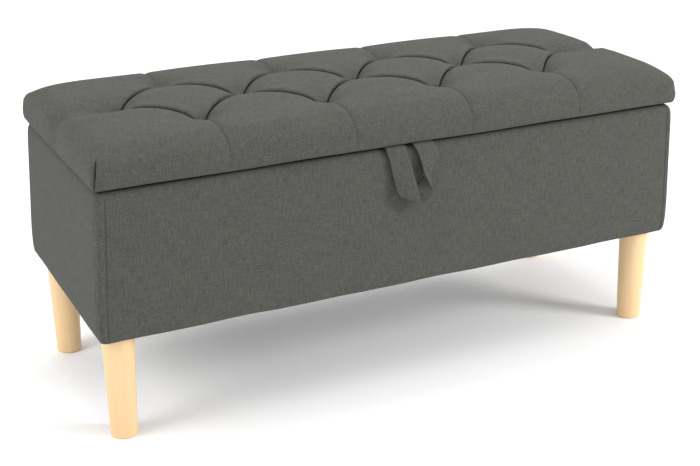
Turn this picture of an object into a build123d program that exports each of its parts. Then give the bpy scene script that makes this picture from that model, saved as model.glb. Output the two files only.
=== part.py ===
from build123d import *
from math import cos, radians, sin
import os

# Upholstered storage bench, in millimetres. Origin on the floor under the middle of the box,
# +X along its length, +Y towards the hinged back edge, +Z up. The lid is modelled closed.

# ---- Overall sizes ----
length = 1000  # box, outside the fabric
depth = 410
leg_height = 170  # floor to the underside of the box
box_height = 228
lid_gap = 4  # between box and lid, filled by the two hinge leaves
lid_height = 63  # underside of the lid to the crown of its cushion

# ---- Sheet and board thicknesses ----
panel_thickness = 12
base_thickness = 9
lid_board_thickness = 12
padding_thickness = 10
fabric_thickness = 1.2
lining_thickness = 0.8

# ---- Box ----
corner_radius = 4
top_edge_radius = 6
tuck_height = 50  # lower stretch of each side, where the fabric draws in
box_flange = 26  # fabric turned under the box
sheet_inset = 12  # edge of a lining or dust sheet, in from the edge it covers
rail_height = 20
long_rail_width = 45
short_rail_width = 30

# ---- Legs ----
leg_top_diameter = 50
leg_foot_diameter = 40
leg_foot_radius = 3  # rounded edge at the floor
leg_setback = 8.8  # leg's axis, in from the end panel
leg_inset_x = fabric_thickness + padding_thickness + panel_thickness + leg_setback
leg_inset_y = 45  # leg's axis, in from the front or back of the box
leg_bolt_diameter = 8
leg_bolt_in_leg = 35
insert_diameter = 12
insert_flange_diameter = 15
insert_flange_thickness = 1.5

# ---- Lid cushion ----
lid_bulge = 8  # how far the cushion swells past the box
lid_bulge_height = 22
lid_corner_radius = 14
lid_edge_radius = 28
lid_board_inset = 6
lid_flange = 25  # fabric turned under the lid
tuft_spacing_x = 200
tuft_spacing_y = 100
tuft_depth = 28
twine_diameter = 2
tuft_washer_diameter = 14
tuft_washer_thickness = 1

# ---- Pull loop ----
strap_width = 34
strap_thickness = 2.4
strap_gap = 1.8  # strap's back to the front of the box
strap_tab = 30  # end held under the lid
strap_bend_radius = 3
loop_hang = 97  # top of the box to the bottom of the loop
loop_inner_radius = 9
loop_reach = 13  # width of the turned band at the bottom, front to back

# ---- Hinges ----
hinge_length = 76
hinge_spread = 330  # outer hinges, either side of the middle one
leaf_thickness = 1.5
leaf_margin = 6  # leaf's front edge, past its row of screws
knuckle_radius = 3
knuckle_count = 5
knuckle_play = 0.2
hinge_pin_radius = 1.5
hinge_setback = 3.5  # pin's axis, behind the box

# ---- Lid stays ----
lid_open_angle = 90
stay_drop_angle = 7.5  # lid pivot, below the level of the hinge
stay_start_angle = 24  # from the lid pivot to the wall pin, seen from the hinge
stay_floor_clearance = 5
stay_end = 8  # from a pivot's centre to the end of the arm or plate
stay_thickness = 2
stay_width = 16
stay_pin_radius = 3
stay_pin_head_radius = 6
stay_rivet_radius = 2.5
stay_rivet_head_radius = 4
stay_plate_length = 50
stay_plate_screw_spacing = 34
stay_slot_run_out = 1
bracket_thickness = 1.5
bracket_width = 30
bracket_foot = 18

# ---- Fasteners and clearances ----
screw_radius = 1.75
screw_head_radius = 3.25
frame_screw_length = 40
frame_screw_margin = 30
base_screw_length = 22
edge_screw_length = 20
board_screw_length = 13
wall_screw_length = 11
running = 0.05  # around pins, screws and threads
play = 0.5  # between plates that pass each other
hole_slack = 0.5  # around a bolt that passes through cloth

# ---- Heights and outlines that follow from these ----
dust_z = leg_height
cover_z = dust_z + lining_thickness
frame_z = cover_z + fabric_thickness
box_top = leg_height + box_height
frame_top = box_top - fabric_thickness
frame_height = frame_top - frame_z
base_z = frame_z + rail_height
floor_z = base_z + base_thickness
skin = padding_thickness + fabric_thickness
frame_length = length - 2 * skin
frame_depth = depth - 2 * skin
inner_length = frame_length - 2 * panel_thickness
inner_depth = frame_depth - 2 * panel_thickness
lid_z = box_top + lid_gap
lid_cover_z = lid_z + lining_thickness
lid_board_z = lid_cover_z + fabric_thickness
lid_board_top = lid_board_z + lid_board_thickness
lid_top = lid_z + lid_height

LOW = (Align.CENTER, Align.CENTER, Align.MIN)
HIGH = (Align.CENTER, Align.CENTER, Align.MAX)
os.makedirs("parts", exist_ok=True)


def save(piece, name):
    piece.part.label = name
    export_step(piece.part, f"parts/{name}.step")


def facing(x, y, z, normal):
    """Plane through a point, whose normal is where a screw's head looks."""
    return Plane(origin=(x, y, z), z_dir=normal)


def wood_screws(places, screw_length):
    """Countersunk screws, each head flush with its plane."""
    with BuildPart() as screws:
        with Locations(*places):
            Cylinder(screw_radius, screw_length, align=HIGH)
            Cone(
                screw_radius, screw_head_radius, screw_head_radius - screw_radius, align=HIGH
            )
    return screws


def drill_heads(places, deep):
    """Countersunk screw holes in the piece being made."""
    with Locations(*places):
        CounterSinkHole(
            screw_radius + running, screw_head_radius + running, depth=deep, counter_sink_angle=90
        )


def drill(places, radius, deep):
    with Locations(*places):
        Cylinder(radius, deep, align=HIGH, mode=Mode.SUBTRACT)


# ---- Where the fasteners go ----
leg_places = [
    (side * (length / 2 - leg_inset_x), end * (depth / 2 - leg_inset_y))
    for end in (-1, 1)
    for side in (-1, 1)
]
end_panel_x = (frame_length - panel_thickness) / 2
frame_screw_rows = [
    frame_z + frame_screw_margin,
    frame_z + frame_height / 2,
    frame_top - frame_screw_margin,
]
front_screws = [
    facing(side * end_panel_x, -frame_depth / 2, z, (0, -1, 0))
    for side in (-1, 1)
    for z in frame_screw_rows
]
back_screws = [
    facing(side * end_panel_x, frame_depth / 2, z, (0, 1, 0))
    for side in (-1, 1)
    for z in frame_screw_rows
]
base_screws_x = inner_length * 0.3
base_screw_places = [
    facing(x, side * (inner_depth - long_rail_width) / 2, floor_z, (0, 0, 1))
    for side in (-1, 1)
    for x in (-base_screws_x, 0, base_screws_x)
] + [
    facing(side * (inner_length - short_rail_width) / 2, 0, floor_z, (0, 0, 1))
    for side in (-1, 1)
]

# ---- Hinge line, shared by the hinges, the lid and the stays ----
hinge_y = depth / 2 + hinge_setback
hinge_z = box_top + lid_gap / 2
hinge_screw_y = (frame_depth - panel_thickness) / 2
hinge_screw_pitch = hinge_length * 0.36
hinge_x = [-hinge_spread, 0, hinge_spread]
hinge_screws_x = [x + step * hinge_screw_pitch for x in hinge_x for step in (-1, 0, 1)]
leaf_z = box_top + leaf_thickness
hinge_box_screws = [facing(x, hinge_screw_y, leaf_z, (0, 0, 1)) for x in hinge_screws_x]
hinge_lid_screws = [
    facing(x, hinge_screw_y, lid_z - leaf_thickness, (0, 0, -1)) for x in hinge_screws_x
]

# ---- Lid stays: lid pivot and wall pin lie on one circle about the hinge line, so the arm
# turns through half the lid's angle while the wall pin runs down its slot ----
stay_tilt = stay_drop_angle + stay_start_angle / 2
stay_reach = 2 * sin(radians((stay_start_angle + lid_open_angle) / 2))
stay_room = hinge_z - floor_z - lining_thickness - stay_floor_clearance
stay_radius = (stay_room - stay_end * cos(radians(stay_tilt))) / (
    sin(radians(stay_drop_angle)) + stay_reach * cos(radians(stay_tilt))
)
slot_near = 2 * stay_radius * sin(radians(stay_start_angle / 2))
slot_far = stay_radius * stay_reach
pivot_y = hinge_y - stay_radius * cos(radians(stay_drop_angle))
pivot_z = hinge_z - stay_radius * sin(radians(stay_drop_angle))
wall_pin_y = hinge_y - stay_radius * cos(radians(stay_drop_angle + stay_start_angle))
wall_pin_z = hinge_z - stay_radius * sin(radians(stay_drop_angle + stay_start_angle))
wall_x = inner_length / 2 - lining_thickness
wall_plate_x = wall_x - stay_thickness
arm_x = wall_plate_x - 2 * play - stay_thickness
bracket_x = arm_x - play - bracket_thickness
wall_screws = [
    facing(
        side * wall_plate_x,
        wall_pin_y,
        wall_pin_z + step * stay_plate_screw_spacing / 2,
        (-side, 0, 0),
    )
    for side in (-1, 1)
    for step in (-1, 1)
]
bracket_screws = [
    facing(
        side * (bracket_x - bracket_foot / 2),
        pivot_y + step * bracket_width / 4,
        lid_z - bracket_thickness,
        (0, 0, -1),
    )
    for side in (-1, 1)
    for step in (-1, 1)
]

# ---- Tufts: rows of four, five and four, the outer rows half a step along ----
tufts = [(x * tuft_spacing_x, 0) for x in (-2, -1, 0, 1, 2)] + [
    (x * tuft_spacing_x, row * tuft_spacing_y) for row in (-1, 1) for x in (-1.5, -0.5, 0.5, 1.5)
]
tuft_points = [(x, y, lid_top - tuft_depth) for x, y in tufts]

# ======== Frame ========
# Front and back panels run the full length and are screwed to the ends of the side panels.
with BuildPart() as front_panel:
    with Locations((0, -(frame_depth - panel_thickness) / 2, frame_z)):
        Box(frame_length, panel_thickness, frame_height, align=LOW)
    drill_heads(front_screws, panel_thickness)
save(front_panel, "front_panel")

with BuildPart() as back_panel:
    with Locations((0, (frame_depth - panel_thickness) / 2, frame_z)):
        Box(frame_length, panel_thickness, frame_height, align=LOW)
    drill_heads(back_screws, panel_thickness)
    drill(hinge_box_screws, screw_radius + running, edge_screw_length + running)
save(back_panel, "back_panel")

for side, name in ((-1, "left_panel"), (1, "right_panel")):
    with BuildPart() as side_panel:
        with Locations((side * end_panel_x, 0, frame_z)):
            Box(panel_thickness, inner_depth, frame_height, align=LOW)
        drill(front_screws + back_screws, screw_radius + running, frame_screw_length + running)
        drill(wall_screws, screw_radius + running, wall_screw_length + running)
    save(side_panel, name)

with BuildPart() as frame_screws:
    add(wood_screws(front_screws + back_screws, frame_screw_length).part)
save(frame_screws, "frame_screws")

# Rails are glued round the foot of the box; the long ones take the leg inserts.
rail_insert_bore = insert_diameter / 2 + running
for side, name in ((-1, "front_rail"), (1, "back_rail")):
    with BuildPart() as long_rail:
        with Locations((0, side * (inner_depth - long_rail_width) / 2, frame_z)):
            Box(inner_length, long_rail_width, rail_height, align=LOW)
        with Locations(*[(x, y, base_z) for x, y in leg_places if y * side > 0]):
            CounterBoreHole(
                rail_insert_bore,
                insert_flange_diameter / 2 + running,
                insert_flange_thickness,
                rail_height,
            )
        drill(base_screw_places, screw_radius + running, base_screw_length + running)
    save(long_rail, name)

for side, name in ((-1, "left_rail"), (1, "right_rail")):
    with BuildPart() as short_rail:
        with Locations((side * (inner_length - short_rail_width) / 2, 0, frame_z)):
            Box(short_rail_width, inner_depth - 2 * long_rail_width, rail_height, align=LOW)
        drill(base_screw_places, screw_radius + running, base_screw_length + running)
    save(short_rail, name)

with BuildPart() as base_panel:
    with Locations((0, 0, base_z)):
        Box(inner_length, inner_depth, base_thickness, align=LOW)
    drill_heads(base_screw_places, base_thickness)
save(base_panel, "base_panel")

with BuildPart() as base_screws:
    add(wood_screws(base_screw_places, base_screw_length).part)
save(base_screws, "base_screws")


# ======== Box upholstery ========
def padded_box(inset):
    """Box inside the fabric's outer face by inset, drawn in towards its lower edge."""
    tuck = padding_thickness - 1
    low = cover_z + inset
    with BuildPart() as form:
        with BuildSketch(Plane.XY.offset(low)):
            RectangleRounded(
                length - 2 * (tuck + inset), depth - 2 * (tuck + inset), corner_radius - inset
            )
        with BuildSketch(Plane.XY.offset(low + tuck_height)):
            RectangleRounded(length - 2 * inset, depth - 2 * inset, corner_radius - inset)
        loft()
        extrude(form.faces().sort_by(Axis.Z)[-1], amount=box_top - low - tuck_height - inset)
        fillet(form.edges().group_by(Axis.Z)[-1], top_edge_radius - inset)
    return form.part


# Four foam sheets, the front and back ones lapping the ends of the side ones.
pad_height = box_top - cover_z
for side, name in ((-1, "front_padding"), (1, "back_padding")):
    with BuildPart() as long_padding:
        add(padded_box(fabric_thickness))
        with Locations((0, side * (frame_depth + depth) / 2, cover_z)):
            Box(2 * length, depth, pad_height, align=LOW, mode=Mode.INTERSECT)
    save(long_padding, name)

for side, name in ((-1, "left_padding"), (1, "right_padding")):
    with BuildPart() as short_padding:
        add(padded_box(fabric_thickness))
        with Locations((side * (frame_length + length) / 2, 0, cover_z)):
            Box(length, frame_depth, pad_height, align=LOW, mode=Mode.INTERSECT)
    save(short_padding, name)

# One fabric skin, turned over the top edge as far as the lining and under the bottom edge.
with BuildPart() as body_cover:
    add(padded_box(0))
    add(padded_box(fabric_thickness), mode=Mode.SUBTRACT)
    with Locations((0, 0, frame_top)):
        Box(inner_length, inner_depth, fabric_thickness, align=LOW, mode=Mode.SUBTRACT)
    with Locations((0, 0, cover_z)):
        Box(
            length - 2 * (padding_thickness + box_flange),
            depth - 2 * (padding_thickness + box_flange),
            fabric_thickness,
            align=LOW,
            mode=Mode.SUBTRACT,
        )
    drill(
        [(x, y, frame_z) for x, y in leg_places],
        leg_bolt_diameter / 2 + hole_slack,
        fabric_thickness,
    )
    drill(hinge_box_screws, screw_radius + running, edge_screw_length)
save(body_cover, "body_cover")

with BuildPart() as storage_lining:
    with Locations((0, 0, floor_z)):
        Box(inner_length, inner_depth, box_top - floor_z, align=LOW)
    with Locations((0, 0, floor_z + lining_thickness)):
        Box(
            inner_length - 2 * lining_thickness,
            inner_depth - 2 * lining_thickness,
            box_height,
            align=LOW,
            mode=Mode.SUBTRACT,
        )
    drill(wall_screws, screw_radius + running, wall_screw_length)
save(storage_lining, "storage_lining")

with BuildPart() as dust_cover:
    dust_edge = padding_thickness + sheet_inset
    with Locations((0, 0, dust_z)):
        Box(length - 2 * dust_edge, depth - 2 * dust_edge, lining_thickness, align=LOW)
    drill(
        [(x, y, cover_z) for x, y in leg_places],
        leg_bolt_diameter / 2 + hole_slack,
        lining_thickness,
    )
save(dust_cover, "dust_cover")

# ======== Legs ========
leg_names = ["leg_front_left", "leg_front_right", "leg_back_left", "leg_back_right"]
for (x, y), name in zip(leg_places, leg_names):
    with BuildPart() as leg:
        with Locations((x, y, 0)):
            Cone(leg_foot_diameter / 2, leg_top_diameter / 2, leg_height, align=LOW)
        fillet(leg.edges().group_by(Axis.Z)[0], leg_foot_radius)
        with Locations((x, y, leg_height)):
            Hole(leg_bolt_diameter / 2 + running, depth=leg_bolt_in_leg + 1)
    save(leg, name)

# Hanger bolts: driven into the legs, threaded into flanged inserts in the long rails.
with BuildPart() as leg_bolts:
    with Locations(*[(x, y, leg_height - leg_bolt_in_leg) for x, y in leg_places]):
        Cylinder(
            leg_bolt_diameter / 2, base_z - 2 - leg_height + leg_bolt_in_leg, align=LOW
        )
save(leg_bolts, "leg_bolts")

with BuildPart() as leg_inserts:
    with Locations(*[(x, y, base_z) for x, y in leg_places]):
        Cylinder(insert_diameter / 2, rail_height, align=HIGH)
        Cylinder(insert_flange_diameter / 2, insert_flange_thickness, align=HIGH)
    drill(
        [(x, y, base_z) for x, y in leg_places], leg_bolt_diameter / 2 + running, rail_height
    )
save(leg_inserts, "leg_inserts")


# ======== Lid ========
def lid_form(inset):
    """Cushion inside the fabric's outer face by inset."""
    low = lid_cover_z + inset
    with BuildPart() as form:
        for height, swell in ((0, 0), (lid_bulge_height, lid_bulge)):
            with BuildSketch(Plane.XY.offset(low + height)):
                RectangleRounded(
                    length + 2 * (swell - inset),
                    depth + 2 * (swell - inset),
                    lid_corner_radius - inset,
                )
        loft()
        extrude(form.faces().sort_by(Axis.Z)[-1], amount=lid_top - low - lid_bulge_height - inset)
        fillet(form.edges().group_by(Axis.Z)[-1], lid_edge_radius - inset)
    return form.part


lid_board_length = length - 2 * lid_board_inset
lid_board_depth = depth - 2 * lid_board_inset
with BuildPart() as lid_board:
    with Locations((0, 0, lid_board_z)):
        Box(lid_board_length, lid_board_depth, lid_board_thickness, align=LOW)
    drill([(x, y, lid_board_top) for x, y in tufts], twine_diameter, lid_board_thickness)
    drill(hinge_lid_screws + bracket_screws, screw_radius + running, board_screw_length + running)
save(lid_board, "lid_board")

with BuildPart() as lid_pad:
    add(lid_form(fabric_thickness))
    with Locations((0, 0, lid_board_z)):
        Box(
            lid_board_length,
            lid_board_depth,
            lid_board_thickness,
            align=LOW,
            mode=Mode.SUBTRACT,
        )
    drill(tuft_points, twine_diameter / 2 + running, lid_height - tuft_depth)
save(lid_pad, "lid_pad")

with BuildPart() as lid_cover:
    add(lid_form(0))
    add(lid_form(fabric_thickness), mode=Mode.SUBTRACT)
    with Locations((0, 0, lid_cover_z)):
        Box(
            length - 2 * lid_flange,
            depth - 2 * lid_flange,
            fabric_thickness,
            align=LOW,
            mode=Mode.SUBTRACT,
        )
    drill(hinge_lid_screws, screw_radius + running, board_screw_length)
save(lid_cover, "lid_cover")

with BuildPart() as lid_lining:
    with Locations((0, 0, lid_z)):
        Box(length - 2 * sheet_inset, depth - 2 * sheet_inset, lining_thickness, align=LOW)
    drill(hinge_lid_screws + bracket_screws, screw_radius + running, board_screw_length)
save(lid_lining, "lid_lining")

# Each tuft is drawn down by a twine, knotted under a washer below the board.
with BuildPart() as tuft_twines:
    with Locations(*tuft_points):
        Cylinder(twine_diameter / 2, lid_top - tuft_depth - lid_cover_z, align=HIGH)
save(tuft_twines, "tuft_twines")

with BuildPart() as tuft_washers:
    with Locations(*[(x, y, lid_board_z) for x, y in tufts]):
        Cylinder(tuft_washer_diameter / 2, tuft_washer_thickness, align=HIGH)
        Cylinder(
            twine_diameter / 2 + running, tuft_washer_thickness, align=HIGH, mode=Mode.SUBTRACT
        )
save(tuft_washers, "tuft_washers")

# Pull loop: both ends of one strap are held side by side under the lid, and the strap hangs
# down the front of the box, where it turns on edge to pass round the bottom of the loop.
strap_back = -(depth / 2 + strap_gap)
strap_front = strap_back - strap_thickness
loop_outer_radius = loop_inner_radius + strap_thickness
loop_centre_z = box_top - loop_hang + loop_outer_radius
strap_outer = loop_inner_radius + strap_width
with BuildPart() as pull_loop:
    for side in (-1, 1):
        strap_middle = side * (loop_inner_radius + strap_width / 2)
        with BuildSketch(Plane.YZ.offset(strap_middle)) as strap_profile:
            with BuildLine():
                Polyline(
                    (strap_tab - depth / 2, lid_z),
                    (strap_front, lid_z),
                    (strap_front, loop_centre_z),
                    (strap_back, loop_centre_z),
                    (strap_back, lid_z - strap_thickness),
                    (strap_tab - depth / 2, lid_z - strap_thickness),
                    close=True,
                )
            make_face()
            for level, bend in (
                (lid_z, strap_bend_radius),
                (lid_z - strap_thickness, strap_bend_radius - strap_thickness),
            ):
                corners = strap_profile.vertices().filter_by_position(Axis.Y, level, level)
                fillet(corners.sort_by(Axis.X)[0], bend)
        extrude(amount=strap_width / 2, both=True)
        # The outer edge runs in towards the turn at the bottom.
        with BuildSketch(Plane.XZ.offset(-strap_back)):
            with BuildLine():
                Polyline(
                    (side * strap_outer, loop_centre_z + strap_width),
                    (side * strap_outer, loop_centre_z),
                    (side * loop_outer_radius, loop_centre_z),
                    close=True,
                )
            make_face()
        extrude(amount=strap_thickness, mode=Mode.SUBTRACT)
        with Locations(
            (side * (loop_inner_radius + strap_thickness / 2), strap_back, loop_centre_z)
        ):
            Box(
                strap_thickness,
                loop_reach,
                strap_width / 2,
                align=(Align.CENTER, Align.MAX, Align.MIN),
            )
    with BuildSketch(Plane.XZ.offset(-strap_back)):
        with Locations((0, loop_centre_z)):
            Circle(loop_outer_radius)
            Circle(loop_inner_radius, mode=Mode.SUBTRACT)
        with Locations((0, loop_centre_z)):
            Rectangle(
                2 * loop_outer_radius,
                loop_outer_radius,
                align=(Align.CENTER, Align.MIN),
                mode=Mode.SUBTRACT,
            )
    extrude(amount=loop_reach)
save(pull_loop, "pull_loop")

# ======== Hinges ========
knuckle_pitch = hinge_length / knuckle_count
leaf_front = hinge_screw_y - leaf_margin
leaf_back = hinge_y - knuckle_radius - knuckle_play
leaf_levels = (box_top, lid_z - leaf_thickness)
for place, name in zip(hinge_x, ("left", "middle", "right")):
    for leaf, owner in ((0, "box"), (1, "lid")):
        low = leaf_levels[leaf]
        knuckles = [
            place + (step - (knuckle_count - 1) / 2) * knuckle_pitch
            for step in range(leaf, knuckle_count, 2)
        ]
        with BuildPart() as hinge_leaf:
            with Locations((place, leaf_front, low)):
                Box(
                    hinge_length,
                    leaf_back - leaf_front,
                    leaf_thickness,
                    align=(Align.CENTER, Align.MIN, Align.MIN),
                )
            with Locations(*[(x, hinge_y, low) for x in knuckles]):
                Box(
                    knuckle_pitch - knuckle_play,
                    hinge_y - leaf_back + knuckle_radius,
                    leaf_thickness,
                    align=(Align.CENTER, Align.MAX, Align.MIN),
                )
            with Locations(*[facing(x, hinge_y, hinge_z, (1, 0, 0)) for x in knuckles]):
                Cylinder(knuckle_radius, knuckle_pitch - knuckle_play)
            with Locations(facing(place, hinge_y, hinge_z, (1, 0, 0))):
                Cylinder(hinge_pin_radius + running, 2 * hinge_length, mode=Mode.SUBTRACT)
            screws = (hinge_box_screws, hinge_lid_screws)[leaf]
            drill_heads(
                [spot for spot in screws if abs(spot.origin.X - place) < hinge_length],
                leaf_thickness,
            )
        save(hinge_leaf, f"hinge_{name}_{owner}_leaf")

with BuildPart() as hinge_pins:
    with Locations(*[facing(x, hinge_y, hinge_z, (1, 0, 0)) for x in hinge_x]):
        Cylinder(hinge_pin_radius, hinge_length)
save(hinge_pins, "hinge_pins")

with BuildPart() as hinge_box_screw_set:
    add(wood_screws(hinge_box_screws, edge_screw_length).part)
save(hinge_box_screw_set, "hinge_box_screws")

with BuildPart() as hinge_lid_screw_set:
    add(wood_screws(hinge_lid_screws, board_screw_length).part)
save(hinge_lid_screw_set, "hinge_lid_screws")

# ======== Lid stays ========
arm_run = (0, sin(radians(stay_tilt)), -cos(radians(stay_tilt)))
for side, name in ((-1, "left"), (1, "right")):
    outward = (side, 0, 0)
    arm_plane = Plane(origin=(side * arm_x, pivot_y, pivot_z), x_dir=arm_run, z_dir=outward)
    with BuildPart() as stay_arm:
        with BuildSketch(arm_plane):
            with Locations((slot_far / 2, 0)):
                SlotOverall(slot_far + 2 * stay_end, stay_width)
            Circle(stay_rivet_radius + running, mode=Mode.SUBTRACT)
            with Locations(((slot_near + slot_far) / 2, 0)):
                SlotCenterToCenter(
                    slot_far - slot_near + 2 * stay_slot_run_out,
                    2 * (stay_pin_radius + running),
                    mode=Mode.SUBTRACT,
                )
        extrude(amount=stay_thickness)
    save(stay_arm, f"stay_{name}_arm")

    with BuildPart() as stay_bracket:
        bracket_plane = Plane(
            origin=(side * bracket_x, pivot_y, pivot_z), x_dir=(0, 1, 0), z_dir=outward
        )
        with BuildSketch(bracket_plane) as bracket_leg:
            Circle(stay_end)
            with Locations((0, side * (lid_z - pivot_z) / 2)):
                Rectangle(2 * stay_end, lid_z - pivot_z)
            Circle(stay_rivet_radius + running, mode=Mode.SUBTRACT)
        extrude(amount=bracket_thickness)
        with Locations((side * (bracket_x - bracket_foot / 2), pivot_y, lid_z)):
            Box(bracket_foot, bracket_width, bracket_thickness, align=HIGH)
        with Locations((side * (bracket_x + bracket_thickness / 2), pivot_y, lid_z)):
            Box(bracket_thickness, bracket_width, bracket_thickness, align=HIGH)
        drill_heads(
            [spot for spot in bracket_screws if spot.origin.X * side > 0], bracket_thickness
        )
    save(stay_bracket, f"stay_{name}_bracket")

    with BuildPart() as stay_plate:
        plate_plane = Plane(
            origin=(side * wall_plate_x, wall_pin_y, wall_pin_z), x_dir=(0, 0, 1), z_dir=outward
        )
        with BuildSketch(plate_plane):
            SlotOverall(stay_plate_length, stay_width)
            Circle(stay_pin_radius + running, mode=Mode.SUBTRACT)
        extrude(amount=stay_thickness)
        drill_heads(
            [spot for spot in wall_screws if spot.origin.X * side > 0], stay_thickness
        )
    save(stay_plate, f"stay_{name}_wall_plate")

# Shouldered wall pins, with their heads over the arms, and rivets through arm and bracket.
pin_head_x = arm_x - play / 2
with BuildPart() as stay_wall_pins:
    for side in (-1, 1):
        with Locations(facing(side * wall_x, wall_pin_y, wall_pin_z, (side, 0, 0))):
            Cylinder(stay_pin_radius, wall_x - pin_head_x, align=HIGH)
        with Locations(facing(side * pin_head_x, wall_pin_y, wall_pin_z, (side, 0, 0))):
            Cylinder(stay_pin_head_radius, bracket_thickness, align=HIGH)
save(stay_wall_pins, "stay_wall_pins")

rivet_head = play + 0.2
rivet_out_x = arm_x + stay_thickness + 2 * running
with BuildPart() as stay_rivets:
    for side in (-1, 1):
        with Locations(facing(side * bracket_x, pivot_y, pivot_z, (side, 0, 0))):
            Cylinder(stay_rivet_radius, rivet_out_x - bracket_x, align=LOW)
            Cylinder(stay_rivet_head_radius, rivet_head, align=HIGH)
        with Locations(facing(side * rivet_out_x, pivot_y, pivot_z, (side, 0, 0))):
            Cylinder(stay_rivet_head_radius, rivet_head, align=LOW)
save(stay_rivets, "stay_rivets")

with BuildPart() as stay_wall_screws:
    add(wood_screws(wall_screws, wall_screw_length).part)
save(stay_wall_screws, "stay_wall_screws")

with BuildPart() as stay_lid_screws:
    add(wood_screws(bracket_screws, board_screw_length).part)
save(stay_lid_screws, "stay_lid_screws")
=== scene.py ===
from math import cos, pi, sin, tau

import bmesh
import bpy
import numpy as np
from mathutils import Euler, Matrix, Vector


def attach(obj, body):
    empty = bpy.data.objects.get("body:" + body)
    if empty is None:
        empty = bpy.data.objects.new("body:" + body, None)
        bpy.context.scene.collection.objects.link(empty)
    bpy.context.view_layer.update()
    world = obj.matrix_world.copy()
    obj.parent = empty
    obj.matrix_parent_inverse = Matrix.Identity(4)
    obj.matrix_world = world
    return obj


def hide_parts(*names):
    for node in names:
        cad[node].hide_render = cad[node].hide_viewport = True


# Storage bench: a padded, cloth-covered box on four turned legs, with a tufted lid on hinges.
# Metres, origin on the floor under the middle of the box, +Y towards the hinged back edge.
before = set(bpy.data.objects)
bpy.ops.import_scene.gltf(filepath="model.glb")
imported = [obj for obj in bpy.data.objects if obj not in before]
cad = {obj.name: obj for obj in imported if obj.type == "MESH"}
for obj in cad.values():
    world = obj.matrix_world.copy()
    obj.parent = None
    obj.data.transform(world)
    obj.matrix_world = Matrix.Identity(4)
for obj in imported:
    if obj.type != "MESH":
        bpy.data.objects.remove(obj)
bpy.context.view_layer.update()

# ======== Camera, floor and studio light ========
# A long lens off the front left corner, looking a little down at a pale floor. Three big soft
# lights: one above, one to the left, and one to the front right.
lens = bpy.data.cameras.new("camera")
lens.lens = 67.19
lens.sensor_width = 36
lens.shift_y = -0.05
lens.clip_end = 50
camera = bpy.data.objects.new("camera", lens)
camera.location = (-0.922, -1.8675, 0.9968)
camera.rotation_euler = Euler((pi / 2 - 0.34505, 0.00637, -0.45684), "XYZ")
bpy.context.scene.collection.objects.link(camera)
bpy.context.scene.camera = camera

floor_paint = bpy.data.materials.new("floor_paint")
floor_paint.use_nodes = True
floor_paint.node_tree.nodes["Principled BSDF"].inputs["Base Color"].default_value = (0.93, 0.93, 0.93, 1)
floor_paint.node_tree.nodes["Principled BSDF"].inputs["Roughness"].default_value = 0.9
floor_sheet = bpy.data.meshes.new("floor")
floor_sheet.from_pydata([(-30, -30, 0), (30, -30, 0), (30, 30, 0), (-30, 30, 0)], [], [(0, 1, 2, 3)])
floor_sheet.materials.append(floor_paint)
floor = bpy.data.objects.new("floor", floor_sheet)
bpy.context.scene.collection.objects.link(floor)

bpy.context.scene.view_settings.view_transform = "Standard"
world = bpy.data.worlds.new("studio")
bpy.context.scene.world = world
world.use_nodes = True
world.node_tree.nodes["Background"].inputs["Color"].default_value = (1, 1, 1, 1)
world.node_tree.nodes["Background"].inputs["Strength"].default_value = 0.92


def softbox(name, place, aim, size, watts):
    """A square area light at a place, turned towards a point."""
    light = bpy.data.lights.new(name, "AREA")
    light.size = size
    light.energy = watts
    box = bpy.data.objects.new(name, light)
    box.location = place
    box.rotation_euler = (Vector(aim) - Vector(place)).to_track_quat("-Z", "Y").to_euler()
    bpy.context.scene.collection.objects.link(box)


softbox("softbox_over", (0.0, 0.9, 3.2), (0, 0, 0.3), 1.8, 28)
softbox("softbox_left", (-3.1, -0.4, 2.5), (0, 0, 0.3), 1.6, 56)
softbox("softbox_right", (2.5, -2.3, 1.7), (0, 0, 0.3), 1.0, 84)

# ======== Box frame ========
# Front, back and end panels, base and lid board of birch plywood, and four pine rails under the
# base, all screwed. The plywood shows its face grain, and its plies along the cut edges.


def node_adder(tree):
    """The call that adds a node to a tree, sets it up, and joins or fills its inputs."""
    def add(kind, settings=(), **values):
        node = tree.nodes.new(kind)
        for key, value in dict(settings).items():
            setattr(node, key, value)
        for key, value in values.items():
            numbered = key[0] == "i" and key[1:].isdigit()
            socket = node.inputs[int(key[1:]) if numbered else key.replace("_", " ")]
            for one in value if isinstance(value, list) else [value]:
                if isinstance(one, bpy.types.NodeSocket):
                    tree.links.new(one, socket)
                elif hasattr(one, "outputs"):
                    tree.links.new(one.outputs[0], socket)
                else:
                    socket.default_value = one
        return node

    return add


def new_finish(name, roughness):
    """A material with its shader, and the node-adding and joining calls for its pattern."""
    finish = bpy.data.materials.new(name)
    finish.use_nodes = True
    tree = finish.node_tree
    shader = tree.nodes["Principled BSDF"]
    shader.inputs["Roughness"].default_value = roughness
    add = node_adder(tree)

    def calc(operation, a, b=0.0, c=0.0):
        return add("ShaderNodeMath", {"operation": operation}, i0=a, i1=b, i2=c).outputs[0]

    def shade(low, high, by):
        """From one colour to another, by a value from 0 to 1."""
        node = add("ShaderNodeMix", {"data_type": "RGBA"})
        socket = by.outputs[0] if hasattr(by, "outputs") else by
        tree.links.new(socket, node.inputs[0])
        for spot, colour in ((6, low), (7, high)):
            if isinstance(colour, bpy.types.NodeSocket):
                tree.links.new(colour, node.inputs[spot])
            else:
                node.inputs[spot].default_value = (*colour, 1)
        return node.outputs[2]

    def finish_off(colour, height=None, distance=0.0003, strength=1.0, rough=None):
        tree.links.new(colour, shader.inputs["Base Color"])
        if rough is not None:
            tree.links.new(rough, shader.inputs["Roughness"])
        if height is not None:
            bump = add("ShaderNodeBump", Strength=strength, Distance=distance, Height=height)
            tree.links.new(bump.outputs[0], shader.inputs["Normal"])

    return finish, shader, add, calc, shade, finish_off


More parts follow.
